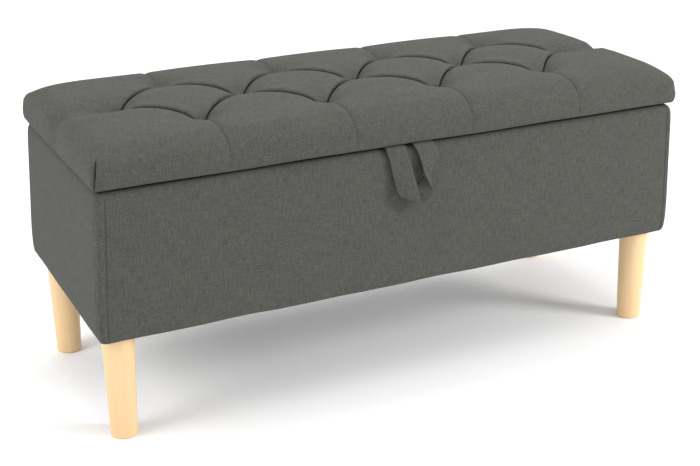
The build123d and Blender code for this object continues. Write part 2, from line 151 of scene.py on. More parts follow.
def plywood(name, grain, across, plies):
    """Board whose grain runs along one axis and whose plies lie across another; a rail is one ply."""
    finish, shader, add, calc, shade, finish_off = new_finish(name, 0.62)
    place = add("ShaderNodeTexCoord").outputs["Object"]
    stretch = [60.0, 60.0, 60.0]
    stretch[grain] = 4.0
    mapped = add("ShaderNodeMapping", Vector=place, Scale=tuple(stretch))
    figure = add("ShaderNodeTexNoise", Vector=mapped, Scale=1.0, Detail=6.0, Distortion=0.6)
    pores = add("ShaderNodeTexNoise", Vector=mapped, Scale=9.0, Detail=2.0)
    axes = add("ShaderNodeSeparateXYZ", Vector=place)
    layer = calc("FRACT", calc("MULTIPLY", axes.outputs[across], 1000 / plies))
    dark_ply = calc("GREATER_THAN", layer, 0.5)
    face = shade((0.50, 0.34, 0.19), (0.66, 0.50, 0.32), figure)
    face = shade(face, (0.36, 0.23, 0.12), calc("MULTIPLY", dark_ply, 0.35))
    finish_off(face, pores.outputs[0], 0.0002, 0.4)
    return finish


def dress(finish, *names):
    """Put a finish on CAD pieces."""
    for name in names:
        cad[name].data.materials.clear()
        cad[name].data.materials.append(finish)


dress(plywood("birch_ply_long", 0, 1, 3.4), "front_panel", "back_panel")
dress(plywood("birch_ply_short", 1, 0, 3.4), "left_panel", "right_panel")
dress(plywood("birch_ply_flat", 0, 2, 3.0), "base_panel", "lid_board")
dress(plywood("rail_pine_long", 0, 2, 90.0), "front_rail", "back_rail")
dress(plywood("rail_pine_short", 1, 2, 90.0), "left_rail", "right_rail")

# ======== Foam on the box ========
# Four sheets of soft polyether foam, glued to the panels. They thin out towards the bottom,
# where the cover is drawn in tight.
LENGTH, DEPTH, TOP = 1000.0, 410.0, 398.0
cover_cloth = 1.2
fall = [  # how far the outside of the cover lies inside the plain box, up to its top edge
    (0.3, 381.0), (0.6, 386.0), (1.3, 390.0), (2.4, 393.4), (4.0, 396.0), (6.2, 397.5),
    (9.0, 398.0),
]
tuck = [  # the same, further down, where it is drawn in under the box
    (0.0, 236.0), (0.0, 225.0), (0.2, 213.0), (0.6, 201.0), (1.1, 190.5), (1.9, 181.5),
    (3.1, 175.0), (5.2, 171.3),
]


def foam_finish():
    finish, shader, add, calc, shade, finish_off = new_finish("open_cell_foam", 0.95)
    place = add("ShaderNodeTexCoord").outputs["Object"]
    cells = add("ShaderNodeTexVoronoi", Vector=place, Scale=700.0)
    cloud = add("ShaderNodeTexNoise", Vector=place, Scale=22.0, Detail=3.0)
    colour = shade((0.70, 0.62, 0.42), (0.86, 0.80, 0.62), cloud)
    colour = shade((0.52, 0.45, 0.30), colour, calc("MULTIPLY", cells.outputs[0], 2.2))
    finish_off(colour, cells.outputs[0], 0.0006, 0.8)
    return finish


foam = foam_finish()


def make_piece(name, points, faces, finish, uv=None, smooth=True):
    """A piece from points in millimetres; uv, if any, is one pair for each face corner."""
    mesh = bpy.data.meshes.new(name)
    mesh.from_pydata((np.asarray(points, float) / 1000).tolist(), [], faces)
    mesh.materials.append(finish)
    if uv is not None:
        layer = mesh.uv_layers.new(name="weave")
        layer.data.foreach_set("uv", (np.asarray(uv, float) / 1000).ravel())
    mesh.polygons.foreach_set("use_smooth", [smooth] * len(mesh.polygons))
    mesh.update()
    piece = bpy.data.objects.new(name, mesh)
    bpy.context.scene.collection.objects.link(piece)
    return piece


def face_outwards(piece):
    """Turn every face of a closed piece outwards."""
    shell = bmesh.new()
    shell.from_mesh(piece.data)
    bmesh.ops.recalc_face_normals(shell, faces=shell.faces)
    shell.to_mesh(piece.data)
    shell.free()


def bake(piece):
    """Turn a piece and its modifiers into one plain mesh."""
    bpy.context.view_layer.update()
    seen = piece.evaluated_get(bpy.context.evaluated_depsgraph_get())
    mesh = bpy.data.meshes.new_from_object(seen)
    mesh.name = piece.name
    piece.modifiers.clear()
    piece.data = mesh
    return piece


def lean(z, left=False):
    """How far an end lies inside the plain box: it stands out more at the foot than at the top."""
    if not 171.2 < z < 398.1:
        return 0.0
    return 0.033 * (z - 285) - 0.016 * (398 - z) * left


def box_side(depth_in):
    """Heights and insets of the box's side, from the top edge down, moved in by depth_in."""
    top = [(inset + depth_in * min(1, (TOP + 2 - z) / 8 + 0.12), z - depth_in * (inset / 9.0))
           for inset, z in fall]
    return top[::-1] + [(inset + depth_in, z) for inset, z in tuck]


def foam_sheet(name, node, axis, side, half, clear):
    """One sheet: flat against its panel, and following the cover on its outside."""
    foot, head, thinnest = 173.2, 396.2, 0.3
    reach = (DEPTH if axis else LENGTH) / 2
    panel = reach - 11.2
    rows = [(i, z) for i, z in box_side(cover_cloth + 0.25) if z > foot]
    rows = [(i + 0.4 * (z > 390), min(z, head)) for i, z in rows]
    spots = np.linspace(-half, half, 61)
    points, faces = [], []
    for i, z in rows:
        for s in spots:
            if clear:
                end = max(0.0, abs(s) - (half - clear))
                rounding = clear - np.sqrt(max(clear**2 - end**2, 0))
            else:
                rounding = lean(z, side < 0)
            out = side * max(reach - i - rounding, panel + thinnest)
            points.append((s, out, z) if axis else (out, s, z))
    back = side * (panel + 0.05)
    for i, z in rows:
        for s in spots:
            points.append((s, back, z) if axis else (back, s, z))
    n, m = len(spots), len(rows)
    for k in range(m - 1):
        for j in range(n - 1):
            a = k * n + j
            faces.append((a, a + 1, a + n + 1, a + n))
            b = a + n * m
            faces.append((b, b + n, b + n + 1, b + 1))
    for j in range(n - 1):
        faces.append((j, j + n * m, j + n * m + 1, j + 1))
        a = (m - 1) * n + j
        faces.append((a, a + 1, a + n * m + 1, a + n * m))
    for k in range(m - 1):
        a = k * n
        faces.append((a, a + n, a + n + n * m, a + n * m))
        a = k * n + n - 1
        faces.append((a, a + n * m, a + n + n * m, a + n))
    piece = make_piece(name, points, faces, foam)
    face_outwards(piece)
    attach(piece, "body")
    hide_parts(node)


foam_sheet("foam_front", "front_padding", 1, -1, 491.0, 7.0)
foam_sheet("foam_back", "back_padding", 1, 1, 491.0, 7.0)
foam_sheet("foam_left", "left_padding", 0, -1, 193.4, 0)
foam_sheet("foam_right", "right_padding", 0, 1, 193.4, 0)

# ======== Box cover ========
# One skin of plain-woven linen-look cloth, sewn with a lapped seam at each corner, pulled
# over the top edge and under the box, and stapled there.
LONG_STRAIGHT, SHORT_STRAIGHT = 480.0, 185.0  # half lengths of the sides between their corners
OUTWARD = ((0, -1), (1, 0), (0, 1), (-1, 0))  # front, right, back, left


def linen(name, dark, light, pitch, slub):
    """Plain weave on the piece's own weave map, with thick and thin yarns."""
    finish, shader, add, calc, shade, finish_off = new_finish(name, 0.88)
    shader.inputs["Sheen Weight"].default_value = 0.04
    shader.inputs["Sheen Roughness"].default_value = 0.6
    shader.inputs["Specular IOR Level"].default_value = 0.1
    place = add("ShaderNodeUVMap", {"uv_map": "weave"})
    wander = add("ShaderNodeTexNoise", Vector=place, Scale=90.0, Detail=2.0)
    shift = add("ShaderNodeVectorMath", {"operation": "SCALE"}, i0=wander.outputs["Color"])
    shift.inputs["Scale"].default_value = pitch * 0.55
    moved = add("ShaderNodeVectorMath", {"operation": "ADD"}, i0=place, i1=shift.outputs[0])
    axes = add("ShaderNodeSeparateXYZ", Vector=moved)
    warp = calc("DIVIDE", axes.outputs[0], pitch)
    weft = calc("DIVIDE", axes.outputs[1], pitch)
    square = calc("ADD", calc("FLOOR", warp), calc("ADD", calc("FLOOR", weft), 2000.0))
    over = calc("MODULO", square, 2.0)
    warp_round = calc("ABSOLUTE", calc("SINE", calc("MULTIPLY", warp, pi)))
    weft_round = calc("ABSOLUTE", calc("SINE", calc("MULTIPLY", weft, pi)))
    warp_top = calc("MULTIPLY", calc("POWER", warp_round, 0.7), calc("POWER", weft_round, 0.35))
    weft_top = calc("MULTIPLY", calc("POWER", weft_round, 0.7), calc("POWER", warp_round, 0.35))
    weft_top = calc("MULTIPLY", weft_top, calc("SUBTRACT", 1.0, over))
    height = calc("ADD", calc("MULTIPLY", warp_top, over), weft_top)
    down = add("ShaderNodeMapping", Vector=place, Scale=(430.0, 62.0, 1.0))
    along = add("ShaderNodeMapping", Vector=place, Scale=(62.0, 430.0, 1.0))
    warp_slub = add("ShaderNodeTexNoise", Vector=down, Scale=1.0, Detail=3.0)
    weft_slub = add("ShaderNodeTexNoise", Vector=along, Scale=1.0, Detail=3.0)
    patch = add("ShaderNodeTexNoise", Vector=place, Scale=16.0, Detail=4.0)
    grain = add("ShaderNodeTexNoise", Vector=place, Scale=520.0, Detail=2.0)
    tone = calc("MULTIPLY", height, 0.35)
    for pattern, share in ((warp_slub, 0.60 * slub), (weft_slub, 0.45 * slub), (patch, 0.12), (grain, 0.75)):
        tone = calc("ADD", tone, calc("MULTIPLY", pattern.outputs[0], share))
    spread = add("ShaderNodeMapRange", Value=tone, From_Min=0.34 + 0.40 * slub,
                 From_Max=0.82 + 0.78 * slub)
    relief = calc("ADD", height, calc("MULTIPLY", warp_slub.outputs[0], 0.8))
    finish_off(shade(dark, light, spread), relief, 0.00035, 0.55)
    return finish


grey_linen = linen("grey_linen", (0.028, 0.029, 0.025), (0.110, 0.112, 0.099), 0.0011, 1.0)


def round_corner(half_x, half_y, radius, spot):
    """A point of a rounded outline. A spot is a side and a place along it, or a corner and a turn."""
    kind, where, at = spot
    if kind == "side":
        run = (half_x if where in (0, 2) else half_y) - radius
        fixed = 300.0 if where in (0, 2) else 0.0
        nominal = LONG_STRAIGHT if where in (0, 2) else SHORT_STRAIGHT
        if abs(at) > fixed:
            at = np.sign(at) * (fixed + (abs(at) - fixed) * (run - fixed) / (nominal - fixed))
        return {0: (at, -half_y), 1: (half_x, at), 2: (-at, half_y), 3: (-half_x, -at)}[where]
    turn = where * pi / 2 - pi / 2 + at
    cx, cy = {0: (1, -1), 1: (1, 1), 2: (-1, 1), 3: (-1, -1)}[where]
    return (cx * (half_x - radius) + radius * cos(turn), cy * (half_y - radius) + radius * sin(turn))


def sewn_course(steps_long, steps_short, turns, seam=0.0):
    """Spots once round an outline, starting at the front left corner's end."""
    spots = []
    for where in range(4):
        nominal, steps = (SHORT_STRAIGHT, steps_short) if where % 2 else (LONG_STRAIGHT, steps_long)
        places = np.linspace(-nominal, nominal, steps + 1)
        if seam:
            fine = nominal - seam + np.array([-4.0, -2.4, -1.3, -0.6, 0.0, 0.6, 1.3])
            places = places[np.abs(places) < fine[0] - 1]
            places = np.unique(np.concatenate([places, -fine, fine, [-nominal, nominal]]))
        spots += [("side", where, at) for at in places]
        spots += [("turn", where, at) for at in np.linspace(0, pi / 2, turns + 1)[1:-1]]
    return spots


def box_cover():
    """The cover: rows of points down from the turned-in top edge to the part under the box."""
    seam = 3.2  # from the corner's turn to its seam
    spots = sewn_course(140, 60, 10, seam)
    rows = [(22.4, 398.0), (15.0, 398.0)] + box_side(0.0)[:7]
    rows += [(0.0, z) for z in np.linspace(370, 246, 16)] + list(tuck)
    rows += [(11.0, 170.95), (13.5, 170.8), (22.0, 170.8), (35.5, 170.8)]
    mesh_points, maps = [], []
    run = 0.0
    for k, (inset, z) in enumerate(rows):
        if k:
            run += np.hypot(inset - rows[k - 1][0], z - rows[k - 1][1])
        radius = 9.0 if inset < 12 else 3.0
        for spot in spots:
            kind, where, at = spot
            left = where == 3 or (where == 2 and (kind == "turn" or at > 0))
            left = left or (where == 0 and kind == "side" and at < 0)
            x, y = round_corner(500 - inset - lean(z, left) * (inset < 10), 205 - inset, radius, spot)
            long_side = where in (0, 2)
            if kind == "side":
                nominal = LONG_STRAIGHT if long_side else SHORT_STRAIGHT
                nx, ny = OUTWARD[where]
                tall = sin(pi * np.clip((z - 172) / 226, 0, 1))
                swell = (1.0 if long_side else 1.6) * (1 - abs(at / (nominal + 5)) ** 8) * tall**0.6
                swell += 0.30 * sin(at / 31 + where) * sin(pi * np.clip((z - 171) / 120, 0, 1))
                swell -= 1.5 * np.exp(-abs(nominal - seam - abs(at)) / 0.9) * (173 < z < 397)
                drop = 0.7 * sin(at / 26 + 2 * where) + 0.5 * sin(at / 61 + where)
                drop *= np.clip((185 - z) / 15, 0, 1)
            else:
                turn = where * pi / 2 - pi / 2 + at
                nx, ny = cos(turn), sin(turn)
                swell = 0.35 * (173 < z < 396)
                drop = 0.0
            if z < 171:
                swell, drop = 0.0, 0.0
            drop = max(drop, 171.0 - z if z >= 171 else 0.0)
            mesh_points.append((x + nx * swell, y + ny * swell, z + drop))
        maps.append(run)
    n = len(spots)
    across = [0.0]
    for j in range(n):
        a, b = (round_corner(500, 205, 5.0, spots[i % n]) for i in (j, j + 1))
        across.append(across[-1] + np.hypot(b[0] - a[0], b[1] - a[1]))
    faces, uv = [], []
    for k in range(len(rows) - 1):
        for j in range(n):
            a, b = k * n + j, k * n + (j + 1) % n
            faces.append((a, a + n, b + n, b))
            here, there = across[j], across[j + 1]
            upper, lower = -maps[k], -maps[k + 1]
            uv += [(here, upper), (here, lower), (there, lower), (there, upper)]
    piece = make_piece("box_cover", mesh_points, faces, grey_linen, uv)
    thick = piece.modifiers.new("cloth", "SOLIDIFY")
    thick.thickness = cover_cloth / 1000
    thick.offset = -1
    bake(piece)
    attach(piece, "body")
    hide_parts("body_cover")


box_cover()

# ======== Legs ========
# Four turned beech legs, tapered and clear lacquered. Each screws up into the box by the hanger
# bolt in its top.


def turned_wood():
    finish, shader, add, calc, shade, finish_off = new_finish("lacquered_beech", 0.42)
    shader.inputs["Coat Weight"].default_value = 0.15
    shader.inputs["Coat Roughness"].default_value = 0.35
    place = add("ShaderNodeTexCoord").outputs["Object"]
    grain = add("ShaderNodeMapping", Vector=place, Scale=(95.0, 95.0, 5.0))
    figure = add("ShaderNodeTexNoise", Vector=grain, Scale=1.0, Detail=5.0, Distortion=0.8)
    fleck_map = add("ShaderNodeMapping", Vector=place, Scale=(900.0, 900.0, 55.0))
    fleck = add("ShaderNodeTexNoise", Vector=fleck_map, Scale=1.0, Detail=2.0)
    cloud = add("ShaderNodeTexNoise", Vector=place, Scale=14.0, Detail=2.0)
    colour = shade((0.68, 0.43, 0.205), (0.80, 0.575, 0.32), figure)
    colour = shade(colour, (0.57, 0.355, 0.17), calc("MULTIPLY", calc("GREATER_THAN", fleck, 0.66), 0.35))
    colour = shade(colour, (0.79, 0.575, 0.33), calc("MULTIPLY", cloud, 0.4))
    finish_off(colour, fleck.outputs[0], 0.00012, 0.35)
    return finish


dress(turned_wood(), "leg_front_left", "leg_front_right", "leg_back_left", "leg_back_right")

# ======== Bolts, inserts, screws, hinges and lid stays ========
# Pressed and turned steel, zinc plated: three butt hinges and two slotted stays, the screws, and
# the legs' bolts and inserts. Their shapes come from the CAD model as they are.


def zinc_plate():
    finish, shader, add, calc, shade, finish_off = new_finish("zinc_plated_steel", 0.34)
    shader.inputs["Metallic"].default_value = 1.0
    place = add("ShaderNodeTexCoord").outputs["Object"]
    spangle = add("ShaderNodeTexVoronoi", Vector=place, Scale=160.0)
    smear = add("ShaderNodeTexNoise", Vector=place, Scale=45.0, Detail=4.0)
    scratch_map = add("ShaderNodeMapping", Vector=place, Scale=(2600.0, 300.0, 900.0))
    scratch = add("ShaderNodeTexNoise", Vector=scratch_map, Scale=1.0, Detail=2.0)
    colour = shade((0.50, 0.51, 0.54), (0.74, 0.73, 0.68), smear)
    colour = shade(colour, (0.62, 0.62, 0.66), calc("MULTIPLY", spangle.outputs[0], 0.5))
    rough = add("ShaderNodeMapRange", Value=smear.outputs[0], To_Min=0.24, To_Max=0.50)
    finish_off(colour, scratch.outputs[0], 0.00005, 0.4, rough.outputs[0])
    return finish


dress(zinc_plate(), *[name for name in cad if name.startswith(("hinge_", "stay_"))],
      "leg_bolts", "leg_inserts", "frame_screws", "base_screws", "tuft_washers")

# ======== Lining of the storage space ========
# A box of thin dark woven cloth, folded from one cut sheet, that covers the panels inside. It is
# hemmed and stapled along its upper edge.
dark_lining = linen("dark_lining", (0.016, 0.016, 0.017), (0.045, 0.045, 0.047), 0.0006, 0.5)


def storage_lining():
    """The lining: four walls from the top edge down, and a floor that closes in towards its middle."""
    a, b, top, low, thick = 476.8, 181.8, 397.95, 201.0, 0.8
    rows = [(0.0, top), (0.0, top - 5), (0.35, top - 9), (0.0, top - 14)]
    rows += [(0.0, z) for z in np.linspace(top - 24, low + 14, 14)]
    rows += [(0.6, low + 8), (2.4, low + 3.4), (6.0, low + 1.2), (12.0, low + thick)]
    spots = sewn_course(96, 40, 5)
    points = []
    rng = np.random.default_rng(4)
    phase = rng.uniform(0, tau, 6)
    for inset, z in rows:
        for spot in spots:
            x, y = round_corner(a - thick - inset, b - thick - inset, 3.5, spot)
            kind, where, at = spot
            if kind == "side" and z < top - 16 and inset < 1:
                fade = min(1, (top - 16 - z) / 60) * min(1, (z - low) / 40)
                sag = 1.1 * fade * (1 + sin(at / 37 + phase[where] + z / 90) * sin(at / 83 + phase[4]))
                nx, ny = OUTWARD[where]
                x, y = x - nx * sag, y - ny * sag
            points.append((x, y, z))
    n = len(spots)
    faces = []
    for k in range(len(rows) - 1):
        for j in range(n):
            p, q = k * n + j, k * n + (j + 1) % n
            faces.append((p, q, q + n, p + n))
    # The bottom closes in rings towards the middle.
    base, rings, ridge = len(rows) - 1, 8, 305
    floor_top = low + thick + 0.55
    for step in range(1, rings + 1):
        share = step / (rings + 1)
        for j, spot in enumerate(spots):
            x, y, z = points[base * n + j]
            ripple = 0.5 * sin(x / 47 + 1) * sin(y / 39) * min(1, step / 2)
            mid_x = np.clip(x, -ridge, ridge)
            points.append((x + (mid_x - x) * share, y * (1 - share), floor_top + ripple))
        for j in range(n):
            p = (base + step - 1) * n + j
            q = (base + step - 1) * n + (j + 1) % n
            faces.append((p, q, q + n, p + n))
    last = (base + rings) * n
    mid = []
    for j in range(n):
        x, y, z = points[last + j]
        mid.append(len(points))
        points.append((np.clip(x, -ridge, ridge), 0.0, floor_top))
    for j in range(n):
        faces.append((last + j, last + (j + 1) % n, mid[(j + 1) % n], mid[j]))
    points = np.array(points)
    uv = []
    for face in faces:
        for v in face:
            x, y, z = points[v]
            rise = z - low
            on_end = abs(x) > a - 14
            on_side = abs(y) > b - 14 and not on_end
            uv.append((x + np.sign(x) * rise * on_end, y + np.sign(y) * rise * on_side))
    piece = make_piece("storage_lining_cloth", points, faces, dark_lining, uv)
    weld = piece.modifiers.new("weld", "WELD")
    weld.merge_threshold = 0.00002
    wall = piece.modifiers.new("cloth", "SOLIDIFY")
    wall.thickness = 0.0007
    wall.offset = -1
    bake(piece)
    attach(piece, "body")
    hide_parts("storage_lining")


storage_lining()

# ======== Dust cloth under the box ========
# Thin black spunbonded cloth that closes the box from below. Its edge is folded under once and
# stapled to the rails.


def spunbond():
    finish, shader, add, calc, shade, finish_off = new_finish("black_spunbond", 0.8)
    place = add("ShaderNodeUVMap", {"uv_map": "weave"})
    dots = add("ShaderNodeTexVoronoi", Vector=place, Scale=520.0, Randomness=0.0)
    fibre = add("ShaderNodeTexNoise", Vector=place, Scale=900.0, Detail=5.0, Distortion=2.0)
    bond = calc("LESS_THAN", dots.outputs[0], 0.28)
    colour = shade((0.010, 0.010, 0.011), (0.040, 0.040, 0.043), fibre)
    colour = shade(colour, (0.006, 0.006, 0.007), bond)
    finish_off(colour, calc("SUBTRACT", fibre.outputs[0], bond), 0.0002, 0.5)
    return finish


def flat_cloth(name, node, half_x, half_y, underside, thick, fold, finish, body, ripple):
    """A flat sheet seen from below, with a turned edge that stands a little thicker."""
    xs, ys = (
        np.unique(np.concatenate([np.linspace(-half, half, count),
                                  [-half + fold, half - fold, -half + fold + 2, half - fold - 2]]))
        for half, count in ((half_x, 97), (half_y, 41)))
    points = []
    for x in xs:
        for y in ys:
            edge = min(half_x - abs(x), half_y - abs(y))
            lift = 0.0 if edge <= fold + 0.01 else min(1, (edge - fold) / 2) * thick * 0.45
            wave = 0.5 + 0.5 * sin(x / 53) * sin(y / 41 + x / 170)
            lift += ripple * max(0, min(1, (edge - fold) / 60)) * wave
            points.append((x, y, underside + lift))
    m = len(ys)
    faces, uv = [], []
    for i in range(len(xs) - 1):
        for j in range(m - 1):
            p = i * m + j
            face = (p, p + 1, p + m + 1, p + m)
            faces.append(face)
            uv += [points[v][:2] for v in face]
    piece = make_piece(name, points, faces, finish, uv)
    wall = piece.modifiers.new("cloth", "SOLIDIFY")
    wall.thickness = thick / 1000 * 0.55
    wall.offset = -1
    bake(piece)
    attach(piece, body)
    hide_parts(node)


flat_cloth("dust_cloth", "dust_cover", 478.0, 183.0, 170.0, 0.8, 14.0, spunbond(), "body",
           0.3)

# ======== Tufted lid cover ========
# One sheet of the same cloth over the foam, drawn down at thirteen tufts in rows of four, five
# and four. The spare cloth between tufts is folded into pleats that open towards the front,
# and runs down the front and back in shallow seams, with a pinched fold at each corner.
TUFT_X, TUFT_Y, CROWN = 200.0, 100.0, 465.0
middle_row = [(x * TUFT_X, 0.0) for x in (-2, -1, 0, 1, 2)]
front_row = [(x * TUFT_X, -TUFT_Y) for x in (-1.5, -0.5, 0.5, 1.5)]
back_row = [(x, TUFT_Y) for x, y in front_row]

near = np.array([0, 0.5, 1.1, 1.9, 3.0, 4.5, 7.0, 11.0, 17.0, 25.0])
EDGE = np.hypot(TUFT_X / 2, TUFT_Y)


def along_pleat(middle):
    """Distances along a pleat, close together at both ends."""
    inner = np.linspace(near[-1], EDGE - near[-1], middle + 1)[1:-1]
    return np.concatenate([near, inner, (EDGE - near)[::-1]])


FINE, PLAIN = along_pleat(38), along_pleat(22)
pleats = []
for row in (front_row, back_row):
    for x, y in row:
        for step in (-TUFT_X / 2, TUFT_X / 2):
            pleats.append(((x, y), (x + step, 0.0)))

# Sections of the pleat's two folds: distance from its line, then where that cloth goes and how
# high. The lip hangs over the line, and the tucked side runs in under it.
lip = np.array([
    (0, 0, -15), (0.5, -0.9, -10.5), (1.1, -2.3, -6.4), (1.9, -3.4, -3.6), (3.0, -3.3, -1.3),
    (4.5, -1.6, 0.1), (7, 2.8, 0.9), (11, 9.2, 0.9), (17, 16.4, 0.4), (25, 25, 0), (400, 400, 0),
], float)
tucked = np.array([
    (0, 0, -15), (0.5, 0.4, -13.6), (1.1, 1.0, -12.0), (1.9, 1.9, -10.2), (3.0, 3.1, -8.2),
    (4.5, 4.7, -6.3), (7, 7.2, -4.1), (11, 11.2, -2.1), (17, 17.1, -0.7), (25, 25, -0.1),
    (400, 400, 0),
], float)


def bow(x, y):
    """Every pleat curves a little towards the back between its two tufts."""
    out, most, reach = np.zeros(2), 7.5, 55
    for (ax, ay), (bx, by) in pleats:
        ux, uy = (bx - ax) / EDGE, (by - ay) / EDGE
        s = ((x - ax) * ux + (y - ay) * uy) / EDGE
        nx, ny = (-uy, ux) if ux > 0 else (uy, -ux)
        d = (x - ax) * nx + (y - ay) * ny
        if 0 < s < 1 and abs(d) < reach:
            out += np.array([nx, ny]) * most * sin(pi * s) * (1 - (d / reach) ** 2) ** 2
    return out * np.clip((200 - abs(y)) / 40, 0, 1)


def pleat_fold(x, y):
    """How the nearest pleat moves a point of the flat cloth."""
    best = None
    for (ax, ay), (bx, by) in pleats:
        ux, uy = (bx - ax) / EDGE, (by - ay) / EDGE
        s = (x - ax) * ux + (y - ay) * uy
        s_in = min(max(s, 0.0), EDGE)
        d = np.hypot(x - ax - s_in * ux, y - ay - s_in * uy)
        if best is None or d < best[0] - 1e-6:
            best = (d, s_in / EDGE, s, ax, ay, ux, uy)
    d, share, s, ax, ay, ux, uy = best
    nx, ny = (-uy, ux) if ux * uy > 0 else (uy, -ux)
    if ny < 0:
        nx, ny = -nx, -ny
    own = (x - ax) * nx + (y - ay) * ny
    amount = max(0.0, sin(pi * share)) ** 0.45
    table, sign = (lip, 1) if own > -1e-6 else (tucked, -1)
    new = np.interp(d, table[:, 0], table[:, 1]) - d
    rise = np.interp(d, table[:, 0], table[:, 2])
    if 0 < s < EDGE:
        return nx * new * amount * sign, ny * new * amount * sign, rise * amount
    return 0.0, 0.0, rise * amount


def crease(d, deep, wide):
    """How far a sewn or pinched line is drawn in, at a distance from it."""
    return -deep * (0.55 * np.exp(-abs(d) / (0.22 * wide)) + 0.45 * np.exp(-((d / wide) ** 2)))


def seam_gap(x):
    """How far a place along the front or back is from the nearest of its four seams."""
    return min(abs(abs(x) - 100), abs(abs(x) - 300))


def lid_rows(lower):
    """Insets, heights and corner radii round the lid's edge, with the outward push of each."""
    rows = []
    for turn in np.linspace(0, pi / 2, 12):
        share = sin(turn) ** 0.92
        rows.append((32 - 38 * share, 432 + 33 * cos(turn) ** 0.88, 30 - 10 * share))
    rows += lower
    rows = np.array(rows, float)
    step = np.gradient(rows[:, :2], axis=0)
    step /= np.linalg.norm(step, axis=1)[:, None]
    return rows, np.stack([-step[:, 1], -step[:, 0]], 1)  # outward and upward shares


# Inset, height and corner radius of each lower row: down the side, then under the board.
side_rows = [(-6.2, 424.0, 18), (-5.6, 417.5, 13), (-4.2, 411.0, 11), (-2.2, 406.6, 10),
             (0.6, 403.8, 9), (3.6, 402.8, 8)]
cover_lower = side_rows + [(7.6, 402.8, 8), (12.0, 402.8, 6), (24.5, 402.8, 4)]
pad_lower = side_rows[:2] + [
    (-3.0, 411.4, 16), (-0.9, 408.4, 14), (1.6, 407.0, 11), (4.4, 406.4, 8), (7.6, 406.2, 3),
    (7.7, 411.0, 2), (7.8, 414.6, 2), (20, 414.6, 2)]


